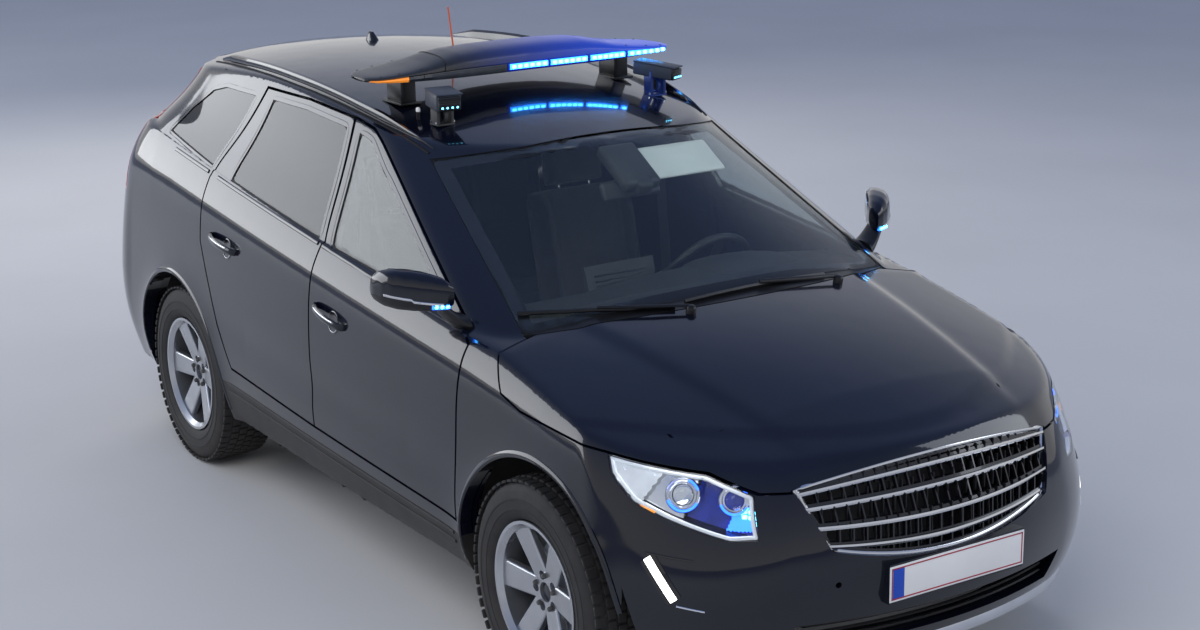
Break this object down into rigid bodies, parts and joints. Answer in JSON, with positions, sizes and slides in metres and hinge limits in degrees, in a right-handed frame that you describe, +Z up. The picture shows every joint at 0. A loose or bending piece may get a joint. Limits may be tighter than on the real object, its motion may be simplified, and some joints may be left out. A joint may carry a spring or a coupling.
{
  "type": "police patrol car",
  "caption": "Five-door patrol car with a roof light bar, hollow cabin, opening doors, bonnet and tailgate, steered front wheels and turning road wheels.",
  "frame": {"origin": "on the ground under the middle of the car's length and width", "axes": "+X is the car's left, -Y is forwards along its length, +Z is up"},
  "size_m": [2.1, 4.644, 1.8756],
  "materials": {
    "paint": "gloss black",
    "dark_trim": "grained black",
    "glass": "tinted",
    "lamp_lens": "clear lens",
    "red_lens": "red lens",
    "blue_lens": "lit blue",
    "alloy": "satin silver",
    "tyre": "black rubber",
    "seat": "charcoal",
    "interior": "soft grey",
    "steel": "dull",
    "chassis": "underseal",
    "bright": "bright"
  },
  "bodies": {
    "root": {"aerials": "dark_trim", "body_side_left": "paint", "body_side_right": "paint", "console": "interior", "cowl": "dark_trim", "dashboard": "interior", "engine": "chassis", "exhaust": "steel", "fender_left": "paint", "fender_right": "paint", "floor_pan": "chassis", "front_axle": "chassis", "front_bumper": "paint", "front_rails": "chassis", "front_seat_left": "seat", "front_seat_right": "seat", "front_valance": "paint", "grille": "bright", "headlamp_left": "lamp_lens", "headlamp_right": "lamp_lens", "light_bar": "dark_trim", "light_bar_lens": "blue_lens", "quarter_glass_left": "glass", "quarter_glass_right": "glass", "rear_axle": "chassis", "rear_bench": "seat", "rear_bumper": "paint", "roof": "paint", "roof_cameras": "dark_trim", "struts": "chassis", "tail_lamp_left": "red_lens", "tail_lamp_right": "red_lens", "wheelhouses": "chassis", "windscreen": "glass"},
    "knuckle_left": {"knuckle_left": "chassis"},
    "front_wheel_left": {"front_wheel_left": "alloy", "front_tyre_left": "tyre"},
    "front_door_left": {"front_door_left": "paint", "front_door_glass_left": "glass", "mirror_left": "paint", "front_door_frame_left": "paint"},
    "rear_wheel_left": {"rear_wheel_left": "alloy", "rear_tyre_left": "tyre"},
    "rear_door_left": {"rear_door_left": "paint", "rear_door_glass_left": "glass"},
    "knuckle_right": {"knuckle_right": "chassis"},
    "front_wheel_right": {"front_wheel_right": "alloy", "front_tyre_right": "tyre"},
    "front_door_right": {"front_door_right": "paint", "front_door_glass_right": "glass", "mirror_right": "paint", "front_door_frame_right": "paint"},
    "rear_wheel_right": {"rear_wheel_right": "alloy", "rear_tyre_right": "tyre"},
    "rear_door_right": {"rear_door_right": "paint", "rear_door_glass_right": "glass"},
    "bonnet": {"bonnet": "paint"},
    "tailgate": {"tailgate": "paint", "tailgate_glass": "glass"},
    "steering_wheel": {"steering_wheel": "interior"}
  },
  "joints": [
    {"name": "front_wheel_left_spin", "type": "hinge", "parent": "knuckle_left", "child": "front_wheel_left", "pos_m": [0.816, -1.429, 0.3685], "axis": [1, 0, 0], "continuous": true},
    {"name": "rear_wheel_left_spin", "type": "hinge", "parent": "root", "child": "rear_wheel_left", "pos_m": [0.793, 1.345, 0.3685], "axis": [1, 0, 0], "continuous": true},
    {"name": "steering_left", "type": "hinge", "parent": "root", "child": "knuckle_left", "pos_m": [0.7, -1.429, 0.3685], "axis": [0, 0, 1], "range_deg": [-33, 33]},
    {"name": "front_door_left_hinge", "type": "hinge", "parent": "root", "child": "front_door_left", "pos_m": [0.952, -0.977, 0.8], "axis": [0, 0, -1], "range_deg": [0, 68]},
    {"name": "rear_door_left_hinge", "type": "hinge", "parent": "root", "child": "rear_door_left", "pos_m": [0.952, 0.063, 0.85], "axis": [0, 0, -1], "range_deg": [0, 68]},
    {"name": "front_wheel_right_spin", "type": "hinge", "parent": "knuckle_right", "child": "front_wheel_right", "pos_m": [-0.816, -1.429, 0.3685], "axis": [1, 0, 0], "continuous": true},
    {"name": "rear_wheel_right_spin", "type": "hinge", "parent": "root", "child": "rear_wheel_right", "pos_m": [-0.793, 1.345, 0.3685], "axis": [1, 0, 0], "continuous": true},
    {"name": "steering_right", "type": "hinge", "parent": "root", "child": "knuckle_right", "pos_m": [-0.7, -1.429, 0.3685], "axis": [0, 0, 1], "range_deg": [-33, 33]},
    {"name": "front_door_right_hinge", "type": "hinge", "parent": "root", "child": "front_door_right", "pos_m": [-0.952, -0.977, 0.8], "axis": [0, 0, 1], "range_deg": [0, 68]},
    {"name": "rear_door_right_hinge", "type": "hinge", "parent": "root", "child": "rear_door_right", "pos_m": [-0.952, 0.063, 0.85], "axis": [0, 0, 1], "range_deg": [0, 68]},
    {"name": "bonnet_hinge", "type": "hinge", "parent": "root", "child": "bonnet", "pos_m": [0, -1.075, 1.135], "axis": [-1, 0, 0], "range_deg": [0, 60]},
    {"name": "tailgate_hinge", "type": "hinge", "parent": "root", "child": "tailgate", "pos_m": [0, 1.822, 1.62], "axis": [1, 0, 0], "range_deg": [0, 85]},
    {"name": "steering_wheel_turn", "type": "hinge", "parent": "root", "child": "steering_wheel", "pos_m": [0.37, -0.545, 0.985], "axis": [0, 0.9061, 0.423], "range_deg": [-500, 500]}
  ],
  "couplings": [
    {"joint": "steering_right", "follows": "steering_left", "ratio": 1},
    {"joint": "steering_wheel_turn", "follows": "steering_left", "ratio": 15}
  ]
}
